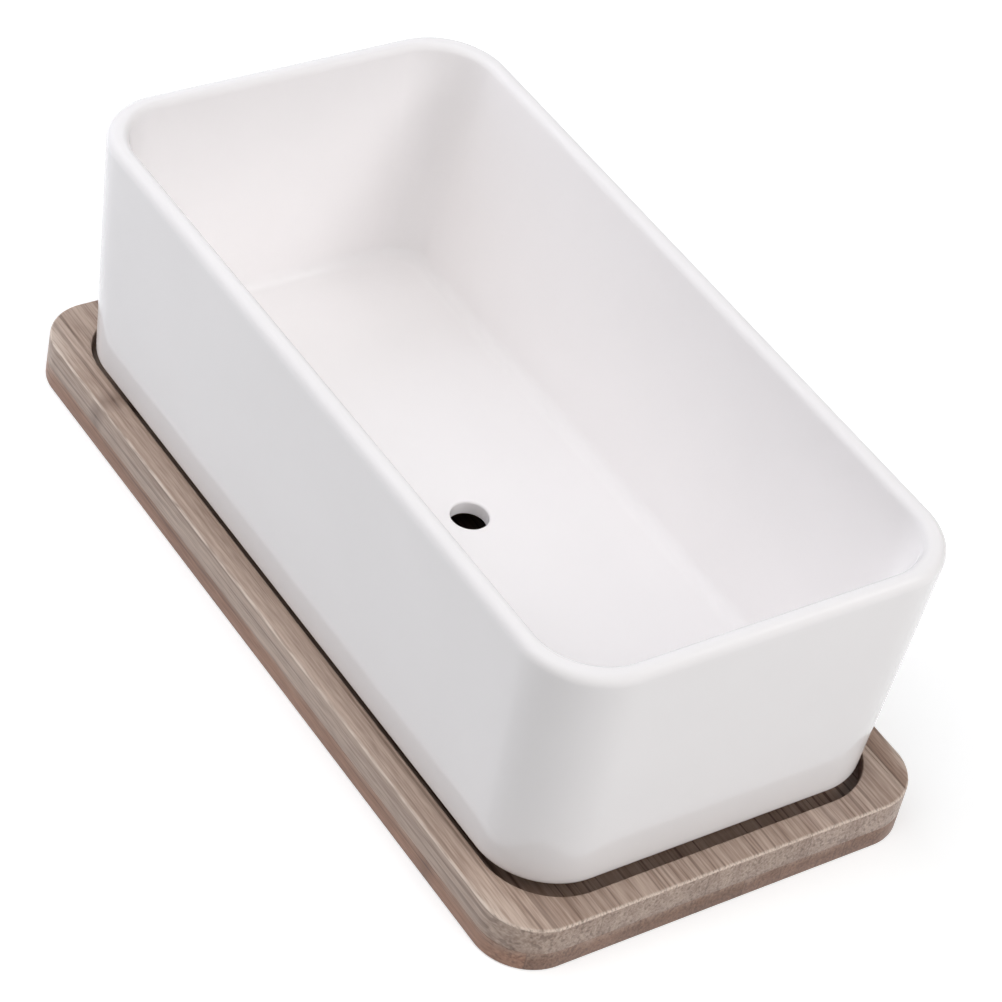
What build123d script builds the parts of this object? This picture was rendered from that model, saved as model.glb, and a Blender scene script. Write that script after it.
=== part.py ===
"""Rectangular ceramic herb planter that stands in a laminated bamboo drip tray.

X runs along the planter, Y across it and Z up. The origin is the middle of the tray's underside.
All sizes are in millimetres.
"""

import math
import os

from build123d import *

# Ceramic pot, measured at its lip and over its whole height
lip_length = 179.5
lip_width = 92.9
lip_wall = 4.2
lip_flat = 0.35
pot_height = 61.0
corner_radius = 15.7

# How far the ends and the sides lean in from the lip to the base of the body
end_lean = 1.9
side_lean = 3.0
base_edge_radius = 1.5

# Hollow of the pot: the wall left round it at the base, how much rounder its corners are than an even
# wall would make them, and its floor above the plane that the pot stands on
base_wall = 9.4
corner_fill = 1.5
floor_height = 11.7
floor_thickness = 3.2
floor_cove_radius = 3.0

# Drain hole in the middle of the floor
drain_diameter = 8.0
drain_edge_bevel = 0.5

# Foot ring, set in from the base of the body
foot_end_inset = 3.5
foot_side_inset = 5.4
foot_wall = 5.0
foot_corner_radius = 9.5
foot_edge_bevel = 0.7

# Room that the tray leaves: round the foot ring in its recess, and under the body above its rim
foot_clearance = 5.0
rim_clearance = 0.7

# Drip tray: a board of two plies with a recess routed into the top one
rim_width = 5.65
top_ply_thickness = 6.5
bottom_ply_thickness = 4.5
tray_corner_radius = 11.5
tray_edge_bevel = 0.7
recess_depth = 4.0
recess_edge_bevel = 0.4

# Bamboo strips of a ply, laid from the edge strip until the board is full
edge_strip_width = 19.5
strip_width = 24.3

# Levels above the tray's underside
tray_thickness = bottom_ply_thickness + top_ply_thickness
recess_floor = tray_thickness - recess_depth
body_bottom = tray_thickness + rim_clearance
lip_level = recess_floor + pot_height
floor_level = recess_floor + floor_height
underside_level = floor_level - floor_thickness

# Outlines of body and hollow that follow from the lip's
lip_radius = (lip_wall - lip_flat) / 2
hollow_corner_radius = corner_radius - lip_wall + corner_fill
base_length = lip_length - 2 * end_lean
base_width = lip_width - 2 * side_lean
hollow_lip_length = lip_length - 2 * lip_wall
hollow_lip_width = lip_width - 2 * lip_wall
hollow_floor_length = base_length - 2 * base_wall
hollow_floor_width = base_width - 2 * base_wall

# Outlines that follow from the base's: the foot ring, the recess round it and the tray round that
foot_length = base_length - 2 * foot_end_inset
foot_width = base_width - 2 * foot_side_inset
recess_length = foot_length + 2 * foot_clearance
recess_width = foot_width + 2 * foot_clearance
recess_corner_radius = foot_corner_radius + foot_clearance
tray_length = recess_length + 2 * rim_width
tray_width = recess_width + 2 * rim_width


def strip_bounds():
    """Y values where the strips of a ply begin and end, from the edge strip at -Y across to +Y."""
    half_width = tray_width / 2
    seam_count = math.ceil((tray_width - edge_strip_width) / strip_width)
    seams = [edge_strip_width - half_width + n * strip_width for n in range(seam_count)]
    return [-half_width, *seams, half_width]


def sloped_outline(base_size, low, top_size, high):
    """Corners of a trapezoid that widens upwards from the height low to the height high."""
    base_half = base_size / 2
    top_half = top_size / 2
    return [(base_half, low), (top_half, high), (-top_half, high), (-base_half, low)]


# Body: leaning ends cut to leaning sides, with rounded upright edges and a softened base
with BuildPart() as body:
    with BuildSketch(Plane.XZ):
        Polygon(*sloped_outline(base_length, body_bottom, lip_length, lip_level), align=None)
    extrude(amount=lip_width / 2, both=True)
    with BuildSketch(Plane.YZ):
        Polygon(*sloped_outline(base_width, body_bottom, lip_width, lip_level), align=None)
    extrude(amount=lip_length / 2, both=True, mode=Mode.INTERSECT)
    fillet(body.edges() - body.edges().filter_by(Plane.XY), corner_radius)
    fillet(body.faces().sort_by(Axis.Z)[0].edges(), base_edge_radius)

# Hollow: the same form, smaller, with a coved floor
with BuildPart() as hollow:
    with BuildSketch(Plane.XZ):
        Polygon(*sloped_outline(hollow_floor_length, floor_level, hollow_lip_length, lip_level), align=None)
    extrude(amount=hollow_lip_width / 2, both=True)
    with BuildSketch(Plane.YZ):
        Polygon(*sloped_outline(hollow_floor_width, floor_level, hollow_lip_width, lip_level), align=None)
    extrude(amount=hollow_lip_length / 2, both=True, mode=Mode.INTERSECT)
    fillet(hollow.edges() - hollow.edges().filter_by(Plane.XY), hollow_corner_radius)
    fillet(hollow.faces().sort_by(Axis.Z)[0].edges(), floor_cove_radius)

with BuildPart() as pot:
    # Shell: the body less its hollow, with the lip rounded over
    add(body.part)
    add(hollow.part, mode=Mode.SUBTRACT)
    fillet(pot.faces().sort_by(Axis.Z)[-1].edges(), lip_radius)

    # Foot ring: it runs down to the recess and is hollow up to the underside of the floor
    with BuildSketch(Plane.XY.offset(body_bottom)):
        RectangleRounded(foot_length, foot_width, foot_corner_radius)
    extrude(amount=recess_floor - body_bottom)
    with BuildSketch(Plane.XY.offset(recess_floor)):
        RectangleRounded(foot_length, foot_width, foot_corner_radius)
        offset(amount=-foot_wall, mode=Mode.REPLACE)
    extrude(amount=underside_level - recess_floor, mode=Mode.SUBTRACT)
    chamfer(pot.faces().sort_by(Axis.Z)[0].edges(), foot_edge_bevel)

    # Drain hole, with an eased upper edge
    with BuildSketch(Plane.XY.offset(floor_level)):
        Circle(drain_diameter / 2)
    extrude(amount=-floor_thickness, mode=Mode.SUBTRACT)
    pot_floor = pot.faces().filter_by(Axis.Z).sort_by(Axis.Z)[-2]
    chamfer(pot_floor.inner_wires()[0].edges(), drain_edge_bevel)
pot.part.label = "pot"

os.makedirs("parts", exist_ok=True)
export_step(pot.part, "parts/pot.step")

# Top ply: the whole board, with its recess and its eased edges
with BuildPart() as top_ply:
    with BuildSketch(Plane.XY.offset(bottom_ply_thickness)):
        RectangleRounded(tray_length, tray_width, tray_corner_radius)
    extrude(amount=top_ply_thickness)
    with BuildSketch(Plane.XY.offset(tray_thickness)):
        RectangleRounded(recess_length, recess_width, recess_corner_radius)
    extrude(amount=-recess_depth, mode=Mode.SUBTRACT)
    chamfer(top_ply.faces().sort_by(Axis.Z)[-1].outer_wire().edges(), tray_edge_bevel)
    chamfer(top_ply.faces().sort_by(Axis.Z)[-1].inner_wires()[0].edges(), recess_edge_bevel)

# Bottom ply: the same outline, with its lower edge eased
with BuildPart() as bottom_ply:
    with BuildSketch():
        RectangleRounded(tray_length, tray_width, tray_corner_radius)
    extrude(amount=bottom_ply_thickness)
    chamfer(bottom_ply.faces().sort_by(Axis.Z)[0].edges(), tray_edge_bevel)

# Strips: each ply is cut along its seams, and the bottom ply's seams mirror the top ply's
for ply, name, side in ((top_ply, "tray_top_strip", 1), (bottom_ply, "tray_bottom_strip", -1)):
    bounds = strip_bounds()
    for number, (start, end) in enumerate(zip(bounds, bounds[1:]), start=1):
        with BuildPart() as strip:
            add(ply.part)
            with Locations((0, side * (start + end) / 2, tray_thickness / 2)):
                Box(tray_length, end - start, tray_thickness, mode=Mode.INTERSECT)
        strip.part.label = f"{name}_{number}"
        export_step(strip.part, f"parts/{name}_{number}.step")
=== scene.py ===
"""Looks of a glazed stoneware herb planter that stands in a laminated bamboo drip tray.

All sizes are in metres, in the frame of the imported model: X along the planter, Y across it, Z up.
"""

import math

import bpy
import numpy as np
from bpy.props import FloatProperty, FloatVectorProperty, PointerProperty
from mathutils import Matrix, Vector


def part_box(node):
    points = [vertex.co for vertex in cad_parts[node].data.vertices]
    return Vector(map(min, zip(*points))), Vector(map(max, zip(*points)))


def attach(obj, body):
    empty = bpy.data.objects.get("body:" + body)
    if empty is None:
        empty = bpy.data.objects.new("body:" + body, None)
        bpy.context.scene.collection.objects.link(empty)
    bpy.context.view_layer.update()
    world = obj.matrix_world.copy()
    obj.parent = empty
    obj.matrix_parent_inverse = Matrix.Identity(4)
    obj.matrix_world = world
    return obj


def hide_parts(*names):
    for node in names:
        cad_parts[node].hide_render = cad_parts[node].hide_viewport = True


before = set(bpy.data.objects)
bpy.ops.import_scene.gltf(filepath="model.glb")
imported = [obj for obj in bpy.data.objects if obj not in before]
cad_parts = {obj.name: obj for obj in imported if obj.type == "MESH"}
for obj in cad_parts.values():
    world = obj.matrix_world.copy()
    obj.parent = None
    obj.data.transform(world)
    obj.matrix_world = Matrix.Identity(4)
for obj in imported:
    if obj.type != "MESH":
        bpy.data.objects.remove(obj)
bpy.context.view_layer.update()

bl_info = {
    "name": "Herb Planter",
    "version": (1, 0, 0),
    "blender": (4, 5, 0),
    "location": "View3D > Sidebar > Planter",
    "description": "Builds a glazed herb planter, its bamboo drip tray and a plain studio around them",
    "category": "Add Mesh",
}

MM = 0.001
POT_LOW, POT_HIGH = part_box("pot")
BOARD_HALF_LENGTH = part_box("tray_top_strip_2")[1].x
BOARD_HALF_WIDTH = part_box("tray_top_strip_5")[1].y

# Sockets of a Mix node that mixes colours
MIX_FACTOR, MIX_A, MIX_B, MIX_RESULT = 0, 6, 7, 2


def linear(code):
    """Linear RGBA of an sRGB hex colour."""
    srgb = np.array([int(code[start : start + 2], 16) for start in (0, 2, 4)]) / 255
    rgb = np.where(srgb <= 0.04045, srgb / 12.92, ((srgb + 0.055) / 1.055) ** 2.4)
    return (*rgb.tolist(), 1.0)


def length(name, description, default):
    """A length in metres that a user can set."""
    return FloatProperty(
        name=name, description=description, default=default, min=0, precision=5, unit="LENGTH"
    )


def colour(name, description, code):
    """A surface colour that a user can set."""
    return FloatVectorProperty(
        name=name, description=description, default=linear(code), size=4, min=0, max=1,
        subtype="COLOR",
    )


def strength(name, description, default):
    """A strength of light, 1 for white, that a user can set."""
    return FloatProperty(
        name=name, description=description, default=default, min=0, subtype="FACTOR"
    )


def power(name, description, default):
    """A lamp's power in watts that a user can set."""
    return FloatProperty(name=name, description=description, default=default, min=0, unit="POWER")


def angle(name, description, degrees):
    """An angle, given in degrees, that a user can set."""
    return FloatProperty(
        name=name, description=description, default=math.radians(degrees), subtype="ANGLE"
    )


class PotSettings(bpy.types.PropertyGroup):
    """Sizes and colours of the pot."""

    corner_radius: length("Corner radius", "Radius of the body's corners, seen from above", 15.7 * MM)
    lip_wall: length("Lip wall", "Thickness of the wall at the lip", 3.9 * MM)
    lip_radius: length("Lip radius", "Rounding of the lip's outer edge", 1.9 * MM)
    mouth_radius: length("Mouth radius", "Rounding of the lip's inner edge", 1.7 * MM)
    end_lean: length("End lean", "How far an end leans in from the lip to the base", 1.9 * MM)
    side_lean: length("Side lean", "How far a side leans in from the lip to the base", 3.0 * MM)
    body_bottom: length("Body bottom", "Level of the body's base", 11.7 * MM)
    base_radius: length("Base radius", "Rounding of the body's lower edge", 1.5 * MM)
    hollow_radius: length("Hollow radius", "Corner radius of the hollow at the lip", 13.0 * MM)
    floor_radius: length("Floor radius", "Corner radius of the hollow at the floor", 7.0 * MM)
    hollow_end_lean: length("Hollow end lean", "How far the hollow's ends lean in", 7.1 * MM)
    hollow_side_lean: length("Hollow side lean", "How far the hollow's sides lean in", 8.6 * MM)
    floor_level: length("Floor level", "Level of the pot's floor", 18.7 * MM)
    floor_thickness: length("Floor thickness", "Thickness of the pot's floor", 3.2 * MM)
    cove_radius: length("Cove radius", "Rounding between floor and walls", 3.0 * MM)
    drain_radius: length("Drain radius", "Radius of the drain hole", 4.0 * MM)
    drain_edge: length("Drain edge", "Rounding of the drain hole's edge", 0.5 * MM)
    foot_end_inset: length("Foot end inset", "How far the foot ring is set in at the ends", 3.5 * MM)
    foot_side_inset: length("Foot side inset", "How far the foot ring is set in at the sides", 5.4 * MM)
    foot_wall: length("Foot wall", "Thickness of the foot ring", 5.0 * MM)
    foot_radius: length("Foot radius", "Corner radius of the foot ring", 14.0 * MM)
    foot_edge: length("Foot edge", "Rounding of the foot ring's edges", 0.7 * MM)
    glaze: colour("Glaze", "Colour of the white glaze", "F8F5F5")
    thin_glaze: colour("Thin glaze", "Colour of the glaze where it lies thinner", "F4F1F1")
    bisque: colour("Bisque", "Colour of the bare clay under the foot ring", "DDD2C0")
    grit: colour("Grit", "Colour of the darker grains in the bare clay", "B9AA94")


class TraySettings(bpy.types.PropertyGroup):
    """Sizes and colours of the drip tray."""

    corner_radius: length("Corner radius", "Radius of the board's corners", 11.5 * MM)
    edge_radius: length("Edge radius", "Rounding of the board's upper edge", 0.6 * MM)
    lower_edge: length("Lower edge", "Rounding of the board's lower edge", 0.3 * MM)
    joint_edge: length("Joint edge", "Fine rounding where the plies meet", 0.12 * MM)
    rim_width: length("Rim width", "Width of the rim round the recess", 5.65 * MM)
    recess_radius: length("Recess radius", "Radius of the recess's corners", 14.5 * MM)
    recess_depth: length("Recess depth", "Depth of the recess", 4.0 * MM)
    recess_edge: length("Recess edge", "Rounding of the recess's upper edge", 0.4 * MM)
    recess_draft: length("Recess draft", "How far the recess's wall leans in", 0.05 * MM)
    pale_fibre: colour("Pale fibre", "Colour of bamboo's pale fibres", "CAB5A6")
    dark_fibre: colour("Dark fibre", "Colour of bamboo's dark fibres", "7F6657")
    # The scorched colour also darkens the recess: painted shade under the pot, partly darker cut grain
    scorched_and_shade: colour("Scorched fibre", "Colour of the darkest lines and the culm's nodes", "50382C")
    # This colour is a painted highlight along the rounded upper edge, broken in flecks
    edge_highlight: colour("Rubbed edge", "Colour of the upper edge where sanding rubs it bare", "E0CFC1")


class StageSettings(bpy.types.PropertyGroup):
    """Light, floor and camera of the studio."""

    floor: colour("Floor", "Colour of the studio floor", "E0E0E0")
    floor_size: length("Floor size", "Side of the square floor", 4.0)
    floor_glow: strength("Floor glow", "How much brighter than lit the floor looks", 0.45)
    fade_start: length("Fade start", "Distance at which the floor begins to fade into white", 0.3)
    fade_end: length("Fade end", "Distance at which the floor is all white", 0.8)
    ambient: strength("Ambient", "Strength of the even light all round", 0.02)
    left_power: power("Left power", "Power of the softbox on the left", 3.25)
    right_power: power("Right power", "Power of the softbox on the right", 9.1)
    top_power: power("Top power", "Power of the softbox overhead", 7.4)
    back_power: power("Back power", "Power of the small softbox at the back", 1.0)
    azimuth: angle("Azimuth", "Turn of the camera round the planter", 48.57)
    elevation: angle("Elevation", "Height angle of the camera", 40.79)
    roll: angle("Roll", "Turn of the camera about its view", 13.1)
    distance: length("Distance", "Distance from the camera to its target", 0.7168)
    target: FloatVectorProperty(
        name="Target", description="Point in the middle of the view",
        default=(8.68 * MM, -0.42 * MM, 30 * MM), size=3, subtype="TRANSLATION", unit="LENGTH",
    )
    lens: FloatProperty(
        name="Lens", description="Focal length of the camera in millimetres", default=130.88,
        min=1, unit="CAMERA",
    )


def add_node(tree, kind, inputs=(), **settings):
    """Adds a node with its settings, and sets each input to a value or links it to a socket.

    A node that is given as an input stands for its first output.
    """
    made = tree.nodes.new(kind)
    for name, value in settings.items():
        setattr(made, name, value)
    for key, value in dict(inputs).items():
        if isinstance(value, bpy.types.Node):
            value = value.outputs[0]
        if isinstance(value, bpy.types.NodeSocket):
            tree.links.new(value, made.inputs[key])
        else:
            made.inputs[key].default_value = value
    return made


def new_material(name):
    """A node material without nodes, and its tree."""
    material = bpy.data.materials.new(name)
    material.use_nodes = True
    material.node_tree.nodes.clear()
    return material, material.node_tree


def link_object(name, points, faces, materials, face_materials=None):
    """Makes a smooth mesh object from arrays of points and faces, at the origin."""
    mesh = bpy.data.meshes.new(name)
    mesh.from_pydata(points, [], faces)
    mesh.shade_smooth()
    for material in materials:
        mesh.materials.append(material)
    if face_materials is not None:
        mesh.polygons.foreach_set("material_index", face_materials)
    mesh.validate()
    made = bpy.data.objects.new(name, mesh)
    bpy.context.scene.collection.objects.link(made)
    return made


# Columns of the pot's surface in each corner, along each side and along each end
CORNER_COLUMNS, SIDE_COLUMNS, END_COLUMNS = 24, 40, 20

# Rows of quads over the pot's rounded edges
DRAIN_ROWS, COVE_ROWS, LIP_ROWS, BASE_ROWS, FOOT_ROWS = 6, 12, 12, 8, 4

# Rings of a straight run, as shares of its length. Those close to its ends keep its shading flat
RUN_SHARES = np.concatenate([[0.02], np.linspace(0.1, 0.9, 7), [0.98]])


def outline_path(corner_steps, side_steps, end_steps):
    """Arrays S and N of a rounded rectangle, walked anticlockwise from the middle of its +X end.

    A point of the outline is S * (half size - radius) + N * radius: S runs along the straight
    stretches between -1 and 1, and N is the outward normal, which turns at the corners.
    """
    corner = np.linspace(0, math.pi / 2, corner_steps, endpoint=False)
    turn = np.array([[0, 1], [-1, 0]])
    spots, normals = [], []
    for quarter, steps in enumerate((end_steps, side_steps, end_steps, side_steps)):
        along = np.append(np.linspace(-1, 1, steps, endpoint=False), np.ones(corner_steps))
        bend = np.append(np.zeros(steps), corner)
        spin = np.linalg.matrix_power(turn, quarter)
        spots.append(np.column_stack([np.ones_like(along), along]) @ spin)
        normals.append(np.column_stack([np.cos(bend), np.sin(bend)]) @ spin)
    start = end_steps // 2
    return np.roll(np.vstack(spots), -start, axis=0), np.roll(np.vstack(normals), -start, axis=0)


def pot_sections(pot):
    """Rings of the pot's surface, from the drain hole over floor, lip, wall and foot to the hole.

    A ring is a rounded rectangle, moved outwards along its normals by w, at a height z. Its profile
    of w and z is made of arcs, and straight runs join them. A leaning wall's rectangle shrinks
    downwards by the lean of its ends and sides. The body's corners keep their radius, and the
    hollow's tighten towards the floor. Round the drain hole a ring is a circle. Returns the points
    as an array of rings, and for each ring whether bare clay starts there.
    """
    spots, normals = outline_path(CORNER_COLUMNS, SIDE_COLUMNS, END_COLUMNS)
    columns = len(spots)
    turn = np.linspace(0, 2 * math.pi, columns, endpoint=False)
    circle = np.column_stack([np.cos(turn), np.sin(turn)])

    lip_level, foot_level = POT_HIGH.z, POT_LOW.z
    half = np.array([POT_HIGH.x, POT_HIGH.y])
    lean = np.array([pot.end_lean, pot.side_lean])
    slope = lean / (lip_level - pot.body_bottom)
    hollow_half = half - pot.lip_wall
    hollow_depth = lip_level - pot.floor_level
    hollow_slope = np.array([pot.hollow_end_lean, pot.hollow_side_lean]) / hollow_depth
    tightening = (pot.hollow_radius - pot.floor_radius) / hollow_depth
    foot_half = half - lean - np.array([pot.foot_end_inset, pot.foot_side_inset])
    underside = pot.floor_level - pot.floor_thickness

    # Lean of the wall in each column, as an angle
    body_tilt = np.arctan(np.abs(normals) @ slope)
    hollow_tilt = np.arctan(np.abs(normals) @ (hollow_slope - tightening) + tightening)

    def rings(outline_half, radius, w, z):
        w, z, _ = np.broadcast_arrays(w, z, np.zeros((1, columns)))
        flat = spots * (outline_half - radius) + normals * (radius + w[..., None])
        return np.dstack([flat, z])

    def bend(outline_half, radius, centre_w, centre_z, size, start, end, rows):
        swing = start + (end - start) * np.linspace(0, 1, rows + 1)[:, None]
        w = centre_w + size * np.cos(swing)
        return rings(outline_half, radius, w, centre_z + size * np.sin(swing))

    def round_hole(radius, z):
        radius, z = np.broadcast_arrays(np.atleast_1d(radius), z)
        return np.dstack([circle * radius[:, None, None], np.repeat(z[:, None], columns, axis=1)])

    def between(first, last):
        return first + (last - first) * RUN_SHARES[:, None, None]

    down, up, right = -math.pi / 2, math.pi / 2, 0.0

    swing = np.linspace(0, up, DRAIN_ROWS + 1)
    hole_edge = round_hole(
        pot.drain_radius + pot.drain_edge * (1 - np.cos(swing)),
        pot.floor_level - pot.drain_edge * (1 - np.sin(swing)),
    )

    # Cove, from the floor up to the leaning wall of the hollow
    cove_level = pot.floor_level + pot.cove_radius
    cove = bend(
        hollow_half - hollow_slope * (lip_level - cove_level),
        pot.floor_radius + tightening * pot.cove_radius,
        -pot.cove_radius / np.cos(hollow_tilt), cove_level, pot.cove_radius,
        down, -hollow_tilt, COVE_ROWS,
    )

    # Lip: the hollow's edge, a narrow flat and the outer edge
    round_level = lip_level - pot.lip_radius
    inner_lip = bend(
        hollow_half, pot.hollow_radius,
        pot.mouth_radius * (1 / np.cos(hollow_tilt) - np.tan(hollow_tilt)),
        lip_level - pot.mouth_radius, pot.mouth_radius, math.pi - hollow_tilt, up, LIP_ROWS,
    )
    outer_lip = bend(
        half, pot.corner_radius, -pot.lip_radius, round_level, pot.lip_radius,
        up, -body_tilt, LIP_ROWS,
    )

    # Base edge, from the leaning wall round to the underside of the body
    base_level = pot.body_bottom + pot.base_radius
    base_edge = bend(
        half - slope * (round_level - base_level), pot.corner_radius,
        -pot.base_radius / np.cos(body_tilt), base_level, pot.base_radius,
        -body_tilt, down, BASE_ROWS,
    )

    # Foot ring: outer wall, rounded edges and inner wall up to the underside of the floor
    edge_level = foot_level + pot.foot_edge
    foot_top = rings(foot_half, pot.foot_radius, 0.0, pot.body_bottom)
    foot_outer = bend(
        foot_half, pot.foot_radius, -pot.foot_edge, edge_level, pot.foot_edge,
        right, down, FOOT_ROWS,
    )
    foot_inner = bend(
        foot_half, pot.foot_radius, pot.foot_edge - pot.foot_wall, edge_level, pot.foot_edge,
        down, -math.pi, FOOT_ROWS,
    )
    ceiling = rings(foot_half, pot.foot_radius, -pot.foot_wall, underside)
    hole_foot = round_hole(pot.drain_radius, underside)

    sections = [
        (hole_edge, 0),
        (between(hole_edge[-1], cove[0]), 0),
        (cove, 0),
        (between(cove[-1], inner_lip[0]), 0),
        (inner_lip, 0),
        (outer_lip, 0),
        (between(outer_lip[-1], base_edge[0]), 0),
        (base_edge, 0),
        (foot_top, 0),
        (foot_outer, 1),
        (foot_inner, 1),
        (ceiling, 0),
        (between(ceiling[0], hole_foot[0]), 0),
        (hole_foot, 0),
        (between(hole_foot[0], hole_edge[0]), 0),
    ]
    points = np.concatenate([section for section, _ in sections])
    bare = np.concatenate([np.full(len(section), clay) for section, clay in sections])
    return points, bare


def closed_grid_faces(rows, columns):
    """Quads of a grid that closes on itself both ways, listed so that they face outwards."""
    row, column = np.meshgrid(np.arange(rows), np.arange(columns), indexing="ij")
    next_row, next_column = (row + 1) % rows, (column + 1) % columns
    corners = [(row, column), (next_row, column), (next_row, next_column), (row, next_column)]
    return np.stack([r * columns + c for r, c in corners], axis=-1).reshape(-1, 4)


SWELL_WIDTH = 25 * MM
GRIT_SIZE = 0.5 * MM


def glazed_stoneware(pot):
    """White glossy glaze fired on stoneware: the eye meets clear reflections over a milky white."""
    material, tree = new_material("glazed_stoneware")
    place = add_node(tree, "ShaderNodeTexCoord").outputs["Object"]
    # The glaze pools in shallow swells, a shade whiter where it lies thicker
    swell = add_node(
        tree, "ShaderNodeTexNoise", {"Vector": place, "Scale": 1 / SWELL_WIDTH, "Detail": 2.0}
    )
    tint = add_node(
        tree, "ShaderNodeMix", {MIX_FACTOR: swell, MIX_A: pot.thin_glaze, MIX_B: pot.glaze},
        data_type="RGBA",
    )
    skin = add_node(
        tree, "ShaderNodeBump", {"Height": swell, "Distance": 0.1 * MM, "Strength": 1.0}
    )
    shader = add_node(
        tree, "ShaderNodeBsdfPrincipled",
        {"Base Color": tint.outputs[MIX_RESULT], "Roughness": 0.08, "IOR": 1.4, "Normal": skin},
    )
    add_node(tree, "ShaderNodeOutputMaterial", {"Surface": shader})
    return material


def bare_clay(pot):
    """Unglazed fired clay, wiped clean before firing: dry, matt and finely sandy."""
    material, tree = new_material("bare_fired_clay")
    place = add_node(tree, "ShaderNodeTexCoord").outputs["Object"]
    grit = add_node(
        tree, "ShaderNodeTexNoise", {"Vector": place, "Scale": 1 / GRIT_SIZE, "Detail": 2.0}
    )
    speckled = add_node(
        tree, "ShaderNodeMix", {MIX_FACTOR: grit, MIX_A: pot.grit, MIX_B: pot.bisque},
        data_type="RGBA",
    )
    sand = add_node(
        tree, "ShaderNodeBump", {"Height": grit, "Distance": 0.1 * MM, "Strength": 0.6}
    )
    shader = add_node(
        tree, "ShaderNodeBsdfPrincipled",
        {"Base Color": speckled.outputs[MIX_RESULT], "Roughness": 0.85, "Normal": sand},
    )
    add_node(tree, "ShaderNodeOutputMaterial", {"Surface": shader})
    return material


class PLANTER_OT_pot(bpy.types.Operator):
    """Builds the glazed pot as one closed surface in place of the plain pot"""

    bl_idname = "planter.pot"
    bl_label = "Pot"

    def execute(self, context):
        pot = context.scene.planter_pot
        points, bare = pot_sections(pot)
        rows, columns = points.shape[:2]
        made = link_object(
            "pot_glazed", points.reshape(-1, 3), closed_grid_faces(rows, columns),
            [glazed_stoneware(pot), bare_clay(pot)], np.repeat(bare, columns),
        )
        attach(made, "pot")
        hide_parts("pot")
        return {"FINISHED"}


# Steps over a quarter turn of a strip's corner and of its rounded edge
CORNER_STEPS, EDGE_STEPS = 16, 6

# Rows of a strip nearer than this to its edge fall together with it
ROW_GAP = 1e-6

# Faces of a strip that meet at a wider angle keep a sharp edge
SHARP_ANGLE = math.radians(35)


def reach_at(y, half_length, half_width, radius):
    """Half length of a rounded rectangle at the distance y from its middle line.

    On the straight ends it is the half length, and past them it follows the corner's circle.
    """
    past = np.clip(np.abs(y) - (half_width - radius), 0, radius)
    return half_length - radius + np.sqrt(radius**2 - past**2)


def depth_inside(x, y, half_length, half_width, radius):
    """Distance of a point inside the edge of a rounded rectangle, negative outside it."""
    past_x, past_y = np.abs(x) - (half_length - radius), np.abs(y) - (half_width - radius)
    outside = np.hypot(np.maximum(past_x, 0), np.maximum(past_y, 0))
    return radius - outside - np.minimum(np.maximum(past_x, past_y), 0)


def edge_drop(depth, radius):
    """How far a quarter round edge lies below its face at a depth in from the edge."""
    return radius - np.sqrt(radius**2 - np.clip(radius - depth, 0, radius) ** 2)


def strip_rows(low, high, levels):
    """Y values of a strip's rows: its two edges, and the levels between them on both sides."""
    both = np.concatenate([-levels, levels])
    inside = (both > low + ROW_GAP) & (both < high - ROW_GAP)
    return np.concatenate([[low], np.unique(both[inside]), [high]])


def strip_sheets(tray, low, high, routed_ply):
    """Grid of x and y over a strip, heights of its top and bottom sheets, and masks of painted light.

    Rows lie where the outlines of board and recess bend, and columns follow these outlines on both
    From the strip's box the top sheet drops and the bottom sheet rises: by a quarter round at the
    board's edges, and on the upper ply by the recess, whose wall falls from its own quarter round to
    its floor. One mask is 1 where the recess is cut, and the material darkens it there with painted
    shade under the pot, partly darker cut grain; the other is 1 in the middle of the upper rounded
    edge, where the material paints a highlight.
    """
    board = (BOARD_HALF_LENGTH, BOARD_HALF_WIDTH, tray.corner_radius)
    recess = (
        BOARD_HALF_LENGTH - tray.rim_width, BOARD_HALF_WIDTH - tray.rim_width, tray.recess_radius
    )
    recess_foot = tuple(size - tray.recess_draft for size in recess)
    quarter = np.sin(np.linspace(0, math.pi / 2, CORNER_STEPS + 1))
    rounding = 1 - np.cos(np.linspace(0, math.pi / 2, EDGE_STEPS + 1))
    levels = np.concatenate([
        board[1] - board[2] * (1 - quarter),
        board[1] - tray.edge_radius * rounding,
        recess[1] - recess[2] * (1 - quarter),
        recess[1] + tray.recess_edge * rounding,
        [recess_foot[1], 0],
    ])
    y = strip_rows(low.y, high.y, levels)[:, None]
    foot_reach = reach_at(y, *recess_foot)
    half = np.hstack([
        foot_reach / 2,
        foot_reach,
        reach_at(y, *recess) + tray.recess_edge * rounding,
        reach_at(y, *board) - tray.edge_radius * rounding[::-1],
    ])
    x = np.hstack([-half[:, ::-1], half])
    y = np.broadcast_to(y, x.shape)
    depth = depth_inside(x, y, *board)
    if routed_ply:
        into = depth_inside(x, y, *recess)
        edge = edge_drop(-into, tray.recess_edge)
        # Share cut down into the recess. The material also paints it darker: mostly painted shade under
        # the pot, partly darker cut grain
        recess_cut_and_shade = np.clip(into / tray.recess_draft, 0, 1)
        fall = edge_drop(depth, tray.edge_radius) / tray.edge_radius
        drop = edge + (tray.recess_depth - edge) * recess_cut_and_shade + fall * tray.edge_radius
        rise = edge_drop(depth, tray.joint_edge)
        # Painted highlight, strongest in the middle of the rounded edge
        highlight_band = 4 * fall * (1 - fall)
    else:
        drop = edge_drop(depth, tray.joint_edge)
        rise = edge_drop(depth, tray.lower_edge)
        recess_cut_and_shade = highlight_band = np.zeros_like(x)
    return x, y, high.z - drop, low.z + rise, {"recess_cut_and_shade": recess_cut_and_shade, "highlight_band": highlight_band}


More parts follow.
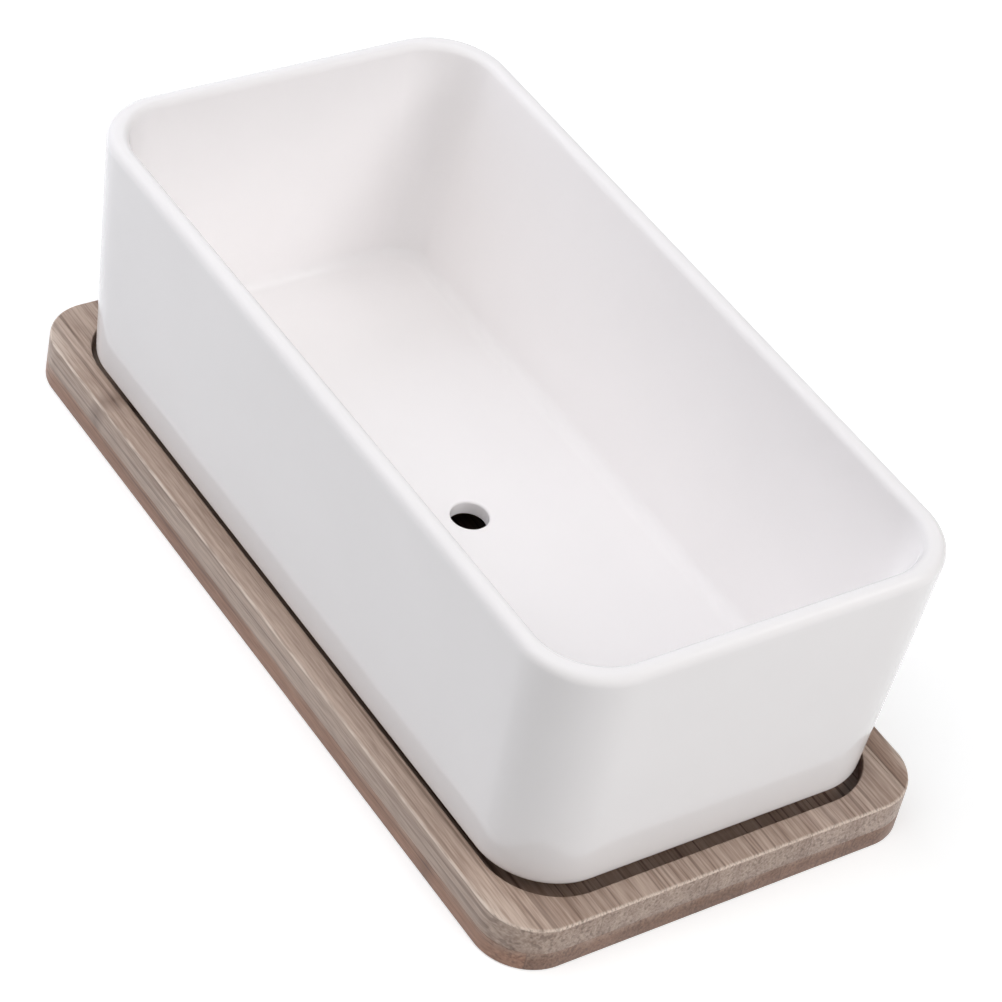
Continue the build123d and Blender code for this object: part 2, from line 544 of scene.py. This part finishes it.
def slab(name, x, y, top, bottom, material, shade_and_highlight_masks):
    """Closes a top and a bottom sheet, heights over the same grid of x and y, into one solid.

    The sheets share their columns and rows, and the walls join the borders of the two. Masks of painted
    shade and highlight are values over the top sheet that the material reads by name, and 0 on the
    bottom sheet.
    """
    rows, columns = x.shape
    sheet = np.arange(rows * columns).reshape(rows, columns)
    under = sheet + rows * columns
    border = np.concatenate([sheet[0], sheet[1:, -1], sheet[-1, -2::-1], sheet[-2:0:-1, 0]])
    below = border + rows * columns
    wall = np.column_stack([border, below, np.roll(below, -1), np.roll(border, -1)])
    quads = [
        np.stack([grid[:-1, :-1], grid[:-1, 1:], grid[1:, 1:], grid[1:, :-1]], axis=-1)
        for grid in (sheet, under[:, ::-1])
    ]
    faces = np.concatenate([*(grid.reshape(-1, 4) for grid in quads), wall])
    points = np.concatenate([np.dstack([x, y, z]).reshape(-1, 3) for z in (top, bottom)])
    made = link_object(name, points, faces, [material])
    made.data.set_sharp_from_angle(angle=SHARP_ANGLE)
    for mask_name, values in shade_and_highlight_masks.items():
        layer = made.data.attributes.new(mask_name, "FLOAT", "POINT")
        layer.data.foreach_set("value", np.append(values, np.zeros(rows * columns)))
    return made


# Noise drawn out along the culm: length along X, width across it in Y and in Z, and detail
GRAIN = {
    "band": (160 * MM, 5 * MM, 7 * MM, 1.0),
    "fibre": (45 * MM, 0.65 * MM, 0.8 * MM, 1.0),
    "fleck": (5 * MM, 0.4 * MM, 0.4 * MM, 1.0),
    "vessel": (70 * MM, 0.7 * MM, 0.8 * MM, 0.0),
    "waver": (8 * MM, 4 * MM, 4 * MM, 2.0),
}

# Weights of the patterns that make up bamboo's paleness
FIBRE_WEIGHT, FLECK_WEIGHT, BAND_WEIGHT = 0.5, 0.4, 0.4

# How far towards the scorched colour each mark goes. The recess's darkening is mostly painted shade
# under the pot, partly darker cut grain
VESSEL_DARKNESS, NODE_DARKNESS, GLUE_DARKNESS, RECESS_SHADE_DARKNESS = 0.42, 0.8, 0.3, 0.5

NODE_HALF_WIDTH, NODE_WAVER = 3.5 * MM, 4 * MM
GLUE_HALF_WIDTH = 0.15 * MM
FOOT_TINT_FULL, FOOT_TINT_END, FOOT_TINT_WAVER = 4 * MM, 7.5 * MM, 3 * MM


def bamboo(name, tray, tones, shift, node_at, seams):
    """Laminated bamboo, sealed after sanding: fine lines of fibre along a strip and dots at its ends.

    Tones are the strip's own tint and its tint towards the board's foot, shift moves its pattern,
    node_at is the place along X of a node of the culm, and seams are the Y values of its glued sides.
    """
    material, tree = new_material(name)
    place = add_node(tree, "ShaderNodeTexCoord").outputs["Object"]
    moved = add_node(tree, "ShaderNodeVectorMath", {0: place, 1: shift}, operation="ADD")
    grain = {}
    for pattern, (along, across, upright, detail) in GRAIN.items():
        drawn = add_node(
            tree, "ShaderNodeMapping",
            {"Vector": moved, "Scale": (1 / along, 1 / across, 1 / upright)},
        )
        grain[pattern] = add_node(
            tree, "ShaderNodeTexNoise", {"Vector": drawn, "Scale": 1.0, "Detail": detail}
        )

    # Pale and dark fibres in soft bands, broken up by short flecks
    lines = add_node(
        tree, "ShaderNodeMath", {0: grain["fibre"], 1: FIBRE_WEIGHT}, operation="MULTIPLY"
    )
    flecked = add_node(
        tree, "ShaderNodeMath", {0: grain["fleck"], 1: FLECK_WEIGHT, 2: lines},
        operation="MULTIPLY_ADD",
    )
    banded = add_node(
        tree, "ShaderNodeMath", {0: grain["band"], 1: BAND_WEIGHT, 2: flecked},
        operation="MULTIPLY_ADD",
    )
    paleness = add_node(
        tree, "ShaderNodeMapRange", {"Value": banded, "From Min": 0.37, "From Max": 0.93}
    )
    # Dark vessels, hair lines a few to the centimetre
    vessel = add_node(
        tree, "ShaderNodeMapRange",
        {"Value": grain["vessel"], "From Min": 0.6, "From Max": 0.7, "To Max": VESSEL_DARKNESS},
    )

    # A node of the culm: a faint wavering ridge across the strip
    spot = add_node(tree, "ShaderNodeSeparateXYZ", {"Vector": place}).outputs
    waved = add_node(
        tree, "ShaderNodeMath", {0: grain["waver"], 1: NODE_WAVER, 2: spot["X"]},
        operation="MULTIPLY_ADD",
    )
    past = add_node(
        tree, "ShaderNodeMath", {0: waved, 1: node_at + NODE_WAVER / 2}, operation="SUBTRACT"
    )
    beside = add_node(tree, "ShaderNodeMath", {0: past}, operation="ABSOLUTE")
    node = add_node(
        tree, "ShaderNodeMapRange",
        {"Value": beside, "From Max": NODE_HALF_WIDTH, "To Min": NODE_DARKNESS, "To Max": 0.0},
    )
    dark = add_node(
        tree, "ShaderNodeMath", {0: node, 1: grain["fleck"], 2: vessel}, operation="MULTIPLY_ADD"
    )

    # Glue lines along both sides of the strip
    glued = [
        add_node(
            tree, "ShaderNodeMath", {0: spot["Y"], 1: seam, 2: GLUE_HALF_WIDTH}, operation="COMPARE"
        )
        for seam in seams
    ]
    glue = add_node(tree, "ShaderNodeMath", {0: glued[0], 1: glued[1]}, operation="ADD")
    darker = add_node(
        tree, "ShaderNodeMath", {0: glue, 1: GLUE_DARKNESS, 2: dark}, operation="MULTIPLY_ADD"
    )

    # The recess is painted darker, mostly painted shade under the pot and partly darker cut grain, and
    # the upper edge gets a painted highlight, broken in flecks
    recess_cut_and_shade = add_node(tree, "ShaderNodeAttribute", attribute_name="recess_cut_and_shade").outputs["Fac"]
    darkest = add_node(
        tree, "ShaderNodeMath", {0: recess_cut_and_shade, 1: RECESS_SHADE_DARKNESS, 2: darker},
        operation="MULTIPLY_ADD", use_clamp=True,
    )
    highlight_band = add_node(tree, "ShaderNodeAttribute", attribute_name="highlight_band").outputs["Fac"]
    broken = add_node(
        tree, "ShaderNodeMapRange",
        {"Value": grain["fleck"], "From Min": 0.3, "From Max": 0.6, "To Min": 0.25},
    )
    edge_highlight = add_node(tree, "ShaderNodeMath", {0: highlight_band, 1: broken}, operation="MULTIPLY")

    # Darker towards the board's foot, up to a soft, wavering border
    height = add_node(
        tree, "ShaderNodeMath", {0: grain["waver"], 1: FOOT_TINT_WAVER, 2: spot["Z"]},
        operation="MULTIPLY_ADD",
    )
    toward_foot = add_node(
        tree, "ShaderNodeMapRange",
        {
            "Value": height, "From Min": FOOT_TINT_FULL, "From Max": FOOT_TINT_END,
            "To Min": 1.0, "To Max": 0.0,
        },
        interpolation_type="SMOOTHSTEP",
    )
    tone = add_node(
        tree, "ShaderNodeMix",
        {MIX_FACTOR: toward_foot, MIX_A: (*tones[0], 1.0), MIX_B: (*tones[1], 1.0)}, data_type="RGBA",
    )

    wood = add_node(
        tree, "ShaderNodeMix",
        {MIX_FACTOR: paleness, MIX_A: tray.dark_fibre, MIX_B: tray.pale_fibre}, data_type="RGBA",
    )
    tinted = add_node(
        tree, "ShaderNodeMix",
        {MIX_FACTOR: 1.0, MIX_A: wood.outputs[MIX_RESULT], MIX_B: tone.outputs[MIX_RESULT]},
        data_type="RGBA", blend_type="MULTIPLY",
    )
    marked = add_node(
        tree, "ShaderNodeMix",
        {MIX_FACTOR: darkest, MIX_A: tinted.outputs[MIX_RESULT], MIX_B: tray.scorched_and_shade},
        data_type="RGBA",
    )
    # Painted highlight along the upper edge, in flecks
    sanded_with_highlight = add_node(
        tree, "ShaderNodeMix",
        {MIX_FACTOR: edge_highlight, MIX_A: marked.outputs[MIX_RESULT], MIX_B: tray.edge_highlight},
        data_type="RGBA",
    )
    groove = add_node(
        tree, "ShaderNodeBump", {"Height": flecked, "Distance": 0.03 * MM, "Strength": 0.4}
    )
    shader = add_node(
        tree, "ShaderNodeBsdfPrincipled",
        {"Base Color": sanded_with_highlight.outputs[MIX_RESULT], "Roughness": 0.42, "Normal": groove},
    )
    add_node(tree, "ShaderNodeOutputMaterial", {"Surface": shader})
    return material


# Tint, tint towards the board's foot and place of the culm's node for each strip, from -Y to +Y on top
# and from +Y to -Y below
TOP_STRIPS = (
    ((1.00, 1.00, 1.00), (0.66, 0.53, 0.47), -65 * MM),
    ((0.97, 0.97, 0.97), (0.56, 0.43, 0.37), 24 * MM),
    ((0.98, 0.98, 0.98), (0.52, 0.39, 0.33), -31 * MM),
    ((1.04, 1.05, 1.07), (0.56, 0.43, 0.37), 58 * MM),
    # Darker, redder tint at the +Y side: partly a redder strip, partly painted shade on that side of
    # the board
    ((0.70, 0.60, 0.55), (0.55, 0.42, 0.36), 7 * MM),
)
BOTTOM_STRIPS = (
    # Darker, redder tint at the +Y side: partly a redder strip, partly painted shade on that side of
    # the board
    ((0.72, 0.62, 0.57), (0.55, 0.42, 0.36), 40 * MM),
    ((0.96, 0.94, 0.93), (0.52, 0.39, 0.33), -52 * MM),
    ((0.93, 0.91, 0.90), (0.48, 0.35, 0.28), 13 * MM),
    ((0.96, 0.94, 0.93), (0.56, 0.43, 0.37), -20 * MM),
    ((0.97, 0.95, 0.94), (0.82, 0.60, 0.50), 66 * MM),
)

# How far the pattern moves from strip to strip, and upwards from ply to ply
STRIP_SHIFT = (0.37, 0.113, 0.051)
PLY_SHIFT = {"top": 0.0, "bottom": 0.7}

# Place of a seam that doesn't show
OFF_BOARD = 1.0


class PLANTER_OT_tray(bpy.types.Operator):
    """Builds the bamboo strips of the drip tray, one solid for each strip of the two plies"""

    bl_idname = "planter.tray"
    bl_label = "Drip Tray"

    def execute(self, context):
        tray = context.scene.planter_tray
        for ply, strips in (("top", TOP_STRIPS), ("bottom", BOTTOM_STRIPS)):
            for number, (*tones, node_at) in enumerate(strips, start=1):
                node = f"tray_{ply}_strip_{number}"
                low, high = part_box(node)
                # The board's own sides aren't glued
                seams = [
                    OFF_BOARD if abs(side) > BOARD_HALF_WIDTH - MM else side
                    for side in (low.y, high.y)
                ]
                along, across, upright = (step * number for step in STRIP_SHIFT)
                shift = (along, across, upright + PLY_SHIFT[ply])
                material = bamboo(f"bamboo_{ply}_{number}", tray, tones, shift, node_at, seams)
                x, y, top, bottom, shade_and_highlight_masks = strip_sheets(tray, low, high, ply == "top")
                made = slab(f"{node}_sanded", x, y, top, bottom, material, shade_and_highlight_masks)
                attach(made, "tray")
                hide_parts(node)
        return {"FINISHED"}


# How far the floor lies below the tray, so that the two don't coincide
FLOOR_DROP = 0.1 * MM


def softbox(name, place, size, watts, tint="FFFFFF", mirrored=False):
    """Adds a square area lamp at a place, turned to the middle of the tray.

    The camera sees no lamp, and only a mirrored one shows on the glaze as a highlight.
    """
    lamp = bpy.data.lights.new(name, "AREA")
    lamp.size = size
    lamp.energy = watts
    lamp.color = linear(tint)[:3]
    made = bpy.data.objects.new(name, lamp)
    place = Vector(place)
    made.location = place
    made.rotation_euler = (-place).to_track_quat("-Z", "Y").to_euler()
    made.visible_camera = False
    made.visible_glossy = mirrored
    bpy.context.scene.collection.objects.link(made)


def white_to_view(tree):
    """A node that gives 1 where the camera, a reflection or a clear material sees the background."""
    path = add_node(tree, "ShaderNodeLightPath").outputs
    mirrored = add_node(
        tree, "ShaderNodeMath", {0: path["Is Camera Ray"], 1: path["Is Glossy Ray"]},
        operation="MAXIMUM",
    )
    return add_node(
        tree, "ShaderNodeMath", {0: mirrored, 1: path["Is Transmission Ray"]}, operation="MAXIMUM"
    )


def studio_paper(stage):
    """White paper, matt, so that the eye meets nothing on it but the planter's soft shadow."""
    material, tree = new_material("studio_paper")
    matt = add_node(tree, "ShaderNodeBsdfDiffuse", {"Color": stage.floor})
    view = white_to_view(tree)
    seen = add_node(tree, "ShaderNodeMath", {0: view, 1: stage.floor_glow}, operation="MULTIPLY")
    glow = add_node(tree, "ShaderNodeEmission", {"Strength": seen})
    lit = add_node(tree, "ShaderNodeAddShader", {0: matt, 1: glow})
    # Away from the planter the paper fades into the white of the air
    place = add_node(tree, "ShaderNodeTexCoord").outputs["Object"]
    away = add_node(tree, "ShaderNodeVectorMath", {0: place}, operation="LENGTH").outputs["Value"]
    faded = add_node(
        tree, "ShaderNodeMapRange",
        {"Value": away, "From Min": stage.fade_start, "From Max": stage.fade_end},
        interpolation_type="SMOOTHSTEP",
    )
    share = add_node(tree, "ShaderNodeMath", {0: faded, 1: view}, operation="MULTIPLY")
    white = add_node(tree, "ShaderNodeEmission", {"Strength": 1.0})
    paper = add_node(tree, "ShaderNodeMixShader", {0: share, 1: lit, 2: white})
    add_node(tree, "ShaderNodeOutputMaterial", {"Surface": paper})
    return material


def studio_air(stage):
    """Air that looks white and gives a faint even light."""
    world = bpy.data.worlds.new("studio_air")
    world.use_nodes = True
    tree = world.node_tree
    tree.nodes.clear()
    brightness = add_node(
        tree, "ShaderNodeMapRange",
        {"Value": white_to_view(tree), "To Min": stage.ambient, "To Max": 1.0},
    )
    air = add_node(tree, "ShaderNodeBackground", {"Strength": brightness})
    add_node(tree, "ShaderNodeOutputWorld", {"Surface": air})
    return world


class PLANTER_OT_stage(bpy.types.Operator):
    """Builds the pale floor, the soft studio light and the camera"""

    bl_idname = "planter.stage"
    bl_label = "Studio"

    def execute(self, context):
        stage = context.scene.planter_stage
        side = stage.floor_size / 2
        corners = np.array([[-side, -side], [side, -side], [side, side], [-side, side]])
        points = np.column_stack([corners, np.full(4, -FLOOR_DROP)])
        face = np.array([[0, 1, 2, 3]])
        link_object("studio_floor", points, face, [studio_paper(stage)])
        context.scene.world = studio_air(stage)

        softbox(
            "softbox_left", place=(-0.62, -0.2, 0.38), size=0.6, watts=stage.left_power,
            tint="F3F7FF",
        )
        softbox("softbox_right", place=(0.9, 0.33, 0.8), size=0.9, watts=stage.right_power)
        softbox("softbox_top", place=(-0.1, -0.6, 1.0), size=1.2, watts=stage.top_power)
        softbox(
            "softbox_back", place=(0.4, 0.7, 0.96), size=0.35, watts=stage.back_power,
            mirrored=True,
        )

        lens = bpy.data.cameras.new("view")
        lens.lens = stage.lens
        camera = bpy.data.objects.new("view", lens)
        facing = (
            Matrix.Rotation(stage.azimuth, 4, "Z")
            @ Matrix.Rotation(math.pi / 2 - stage.elevation, 4, "X")
            @ Matrix.Rotation(stage.roll, 4, "Z")
        )
        back = facing @ Vector((0, 0, stage.distance))
        camera.matrix_world = Matrix.Translation(Vector(stage.target) + back) @ facing
        context.scene.collection.objects.link(camera)
        context.scene.camera = camera
        context.scene.view_settings.view_transform = "Standard"
        return {"FINISHED"}


class VIEW3D_PT_planter(bpy.types.Panel):
    """Lists the planter's pieces and settings in the sidebar"""

    bl_label = "Herb Planter"
    bl_space_type = "VIEW_3D"
    bl_region_type = "UI"
    bl_category = "Planter"

    def draw(self, context):
        for operator, settings in (
            (PLANTER_OT_pot, context.scene.planter_pot),
            (PLANTER_OT_tray, context.scene.planter_tray),
            (PLANTER_OT_stage, context.scene.planter_stage),
        ):
            box = self.layout.box()
            box.operator(operator.bl_idname)
            for name in settings.__annotations__:
                box.prop(settings, name)


CLASSES = (
    PotSettings, TraySettings, StageSettings,
    PLANTER_OT_pot, PLANTER_OT_tray, PLANTER_OT_stage, VIEW3D_PT_planter,
)


def register():
    """Registers the classes and hangs their settings on the scene."""
    for cls in CLASSES:
        bpy.utils.register_class(cls)
    bpy.types.Scene.planter_pot = PointerProperty(type=PotSettings)
    bpy.types.Scene.planter_tray = PointerProperty(type=TraySettings)
    bpy.types.Scene.planter_stage = PointerProperty(type=StageSettings)


def unregister():
    """Takes the settings and the classes away again."""
    del bpy.types.Scene.planter_stage
    del bpy.types.Scene.planter_tray
    del bpy.types.Scene.planter_pot
    for cls in reversed(CLASSES):
        bpy.utils.unregister_class(cls)


def main():
    """Builds the planter and its studio."""
    register()
    bpy.ops.planter.pot()
    bpy.ops.planter.tray()
    bpy.ops.planter.stage()


if __name__ == "__main__":
    main()
